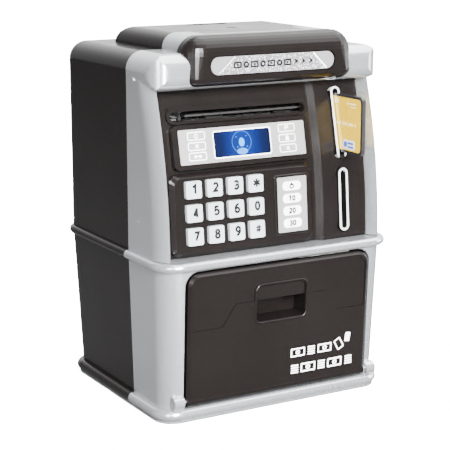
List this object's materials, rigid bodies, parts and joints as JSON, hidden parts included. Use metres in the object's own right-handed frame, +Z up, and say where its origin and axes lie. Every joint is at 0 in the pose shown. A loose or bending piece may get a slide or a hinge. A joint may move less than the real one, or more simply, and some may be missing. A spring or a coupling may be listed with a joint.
{
  "type": "toy atm savings bank",
  "caption": "Upright toy cash machine money box with keypad, display, bill feeder, coin slot, removable bank card and a bottom-hinged cash door.",
  "frame": {"origin": "middle of the underside of the base plate, on the surface the bank stands on, below the middle of the waist rib", "axes": "+Z up, front with the door and the keypad towards -Y, +X towards the card and coin slots"},
  "size_m": [0.136, 0.1247, 0.1894],
  "materials": {
    "silver_plastic": "satin silver paint on moulded plastic",
    "silver_base": "satin silver moulded plastic",
    "black_gloss": "glossy moulded plastic",
    "black_matte": "matt moulded plastic",
    "black_cover": "glossy moulded plastic",
    "header_foil": "patterned foil sticker",
    "label_silver": "printed metallic label",
    "screen": "blue display window",
    "circuit_board": "green circuit board",
    "key_plastic": "pale grey moulded key",
    "rubber": "black rubber",
    "slot_trim": "pale silver trim",
    "inner_plastic": "natural moulded plastic",
    "lever_plastic": "orange moulded plastic",
    "steel": "zinc-plated steel",
    "brass": "machined brass",
    "battery_wrap": "printed cell wrap",
    "card_plastic": "dark card with a gold face"
  },
  "bodies": {
    "case": {"upper_frame": "silver_plastic", "lower_frame": "silver_plastic", "base_plate": "silver_base", "rear_case": "black_gloss", "hood": "black_gloss", "facia_panel": "black_gloss", "column_panel": "black_gloss", "bill_slot_bezel": "black_gloss", "display_bezel": "black_gloss", "keypad_plate": "black_gloss", "vault_shelf": "black_matte", "battery_box": "black_matte", "card_switch": "black_matte", "header_plate": "header_foil", "display_label": "label_silver", "amount_label": "label_silver", "display_screen": "screen", "display_board": "circuit_board", "keypad_board": "circuit_board", "control_board": "circuit_board", "keypad_mat": "rubber", "card_slot_bezel": "slot_trim", "coin_slot_bezel": "slot_trim", "roller_frame": "inner_plastic", "coin_chute": "inner_plastic", "card_guide": "inner_plastic", "lock_body": "inner_plastic", "base_screws": "steel", "case_screws": "steel", "feed_motor": "steel", "battery_contacts": "steel", "speaker": "steel", "lock_spring": "steel", "hinge_pins": "steel", "batteries": "battery_wrap"},
    "cash_door": {"cash_door": "black_gloss"},
    "battery_cover": {"battery_cover": "black_cover", "cover_screw": "steel"},
    "bank_card": {"bank_card": "card_plastic"},
    "drive_roller": {"drive_shaft": "steel", "drive_tyres": "rubber", "drive_gear": "inner_plastic"},
    "pressure_roller": {"pressure_shaft": "steel", "pressure_tyres": "rubber"},
    "motor_pinion": {"motor_pinion": "brass"},
    "coin_lever": {"coin_lever": "lever_plastic"},
    "lock_bolt": {"lock_bolt": "steel"},
    "key_1": {"key_1": "key_plastic"},
    "key_2": {"key_2": "key_plastic"},
    "key_3": {"key_3": "key_plastic"},
    "key_star": {"key_star": "key_plastic"},
    "key_4": {"key_4": "key_plastic"},
    "key_5": {"key_5": "key_plastic"},
    "key_6": {"key_6": "key_plastic"},
    "key_0": {"key_0": "key_plastic"},
    "key_7": {"key_7": "key_plastic"},
    "key_8": {"key_8": "key_plastic"},
    "key_9": {"key_9": "key_plastic"},
    "key_hash": {"key_hash": "key_plastic"}
  },
  "joints": [
    {"name": "door_hinge", "type": "hinge", "parent": "case", "child": "cash_door", "pos_m": [0, -0.053, 0.0108], "axis": [1, 0, 0], "range_deg": [0, 90]},
    {"name": "battery_cover_lift", "type": "slide", "parent": "case", "child": "battery_cover", "axis": [0, 0, 1], "range_m": [0, 0.03]},
    {"name": "bank_card_slide", "type": "slide", "parent": "case", "child": "bank_card", "axis": [0, -1, 0], "range_m": [0, 0.03]},
    {"name": "drive_roller_spin", "type": "hinge", "parent": "case", "child": "drive_roller", "pos_m": [0, -0.02, 0.1453], "axis": [1, 0, 0], "continuous": true},
    {"name": "pressure_roller_spin", "type": "hinge", "parent": "case", "child": "pressure_roller", "pos_m": [0, -0.02, 0.1557], "axis": [1, 0, 0], "continuous": true},
    {"name": "motor_pinion_spin", "type": "hinge", "parent": "case", "child": "motor_pinion", "pos_m": [-0.0466, -0.00493, 0.1404], "axis": [1, 0, 0], "continuous": true},
    {"name": "coin_lever_pivot", "type": "hinge", "parent": "case", "child": "coin_lever", "pos_m": [0.043, -0.03, 0.116], "axis": [1, 0, 0], "range_deg": [0, 50], "stiffness_Nm_per_rad": 0.0004, "springref_deg": -17.19},
    {"name": "lock_bolt_slide", "type": "slide", "parent": "case", "child": "lock_bolt", "axis": [-1, 0, 0], "range_m": [0, 0.004], "stiffness_N_per_m": 100, "springref_m": -0.002, "deforming": ["lock_spring"]},
    {"name": "key_1_press", "type": "slide", "parent": "case", "child": "key_1", "axis": [0, 0.9966, -0.0829], "range_m": [0, 0.0012], "stiffness_N_per_m": 100, "springref_m": -0.002},
    {"name": "key_2_press", "type": "slide", "parent": "case", "child": "key_2", "axis": [0, 0.9966, -0.0829], "range_m": [0, 0.0012], "stiffness_N_per_m": 100, "springref_m": -0.002},
    {"name": "key_3_press", "type": "slide", "parent": "case", "child": "key_3", "axis": [0, 0.9966, -0.0829], "range_m": [0, 0.0012], "stiffness_N_per_m": 100, "springref_m": -0.002},
    {"name": "key_star_press", "type": "slide", "parent": "case", "child": "key_star", "axis": [0, 0.9966, -0.0829], "range_m": [0, 0.0012], "stiffness_N_per_m": 100, "springref_m": -0.002},
    {"name": "key_4_press", "type": "slide", "parent": "case", "child": "key_4", "axis": [0, 0.9966, -0.0829], "range_m": [0, 0.0012], "stiffness_N_per_m": 100, "springref_m": -0.002},
    {"name": "key_5_press", "type": "slide", "parent": "case", "child": "key_5", "axis": [0, 0.9966, -0.0829], "range_m": [0, 0.0012], "stiffness_N_per_m": 100, "springref_m": -0.002},
    {"name": "key_6_press", "type": "slide", "parent": "case", "child": "key_6", "axis": [0, 0.9966, -0.0829], "range_m": [0, 0.0012], "stiffness_N_per_m": 100, "springref_m": -0.002},
    {"name": "key_0_press", "type": "slide", "parent": "case", "child": "key_0", "axis": [0, 0.9966, -0.0829], "range_m": [0, 0.0012], "stiffness_N_per_m": 100, "springref_m": -0.002},
    {"name": "key_7_press", "type": "slide", "parent": "case", "child": "key_7", "axis": [0, 0.9966, -0.0829], "range_m": [0, 0.0012], "stiffness_N_per_m": 100, "springref_m": -0.002},
    {"name": "key_8_press", "type": "slide", "parent": "case", "child": "key_8", "axis": [0, 0.9966, -0.0829], "range_m": [0, 0.0012], "stiffness_N_per_m": 100, "springref_m": -0.002},
    {"name": "key_9_press", "type": "slide", "parent": "case", "child": "key_9", "axis": [0, 0.9966, -0.0829], "range_m": [0, 0.0012], "stiffness_N_per_m": 100, "springref_m": -0.002},
    {"name": "key_hash_press", "type": "slide", "parent": "case", "child": "key_hash", "axis": [0, 0.9966, -0.0829], "range_m": [0, 0.0012], "stiffness_N_per_m": 100, "springref_m": -0.002}
  ],
  "couplings": [
    {"joint": "motor_pinion_spin", "follows": "drive_roller_spin", "ratio": -3.3333},
    {"joint": "pressure_roller_spin", "follows": "drive_roller_spin", "ratio": -1}
  ]
}
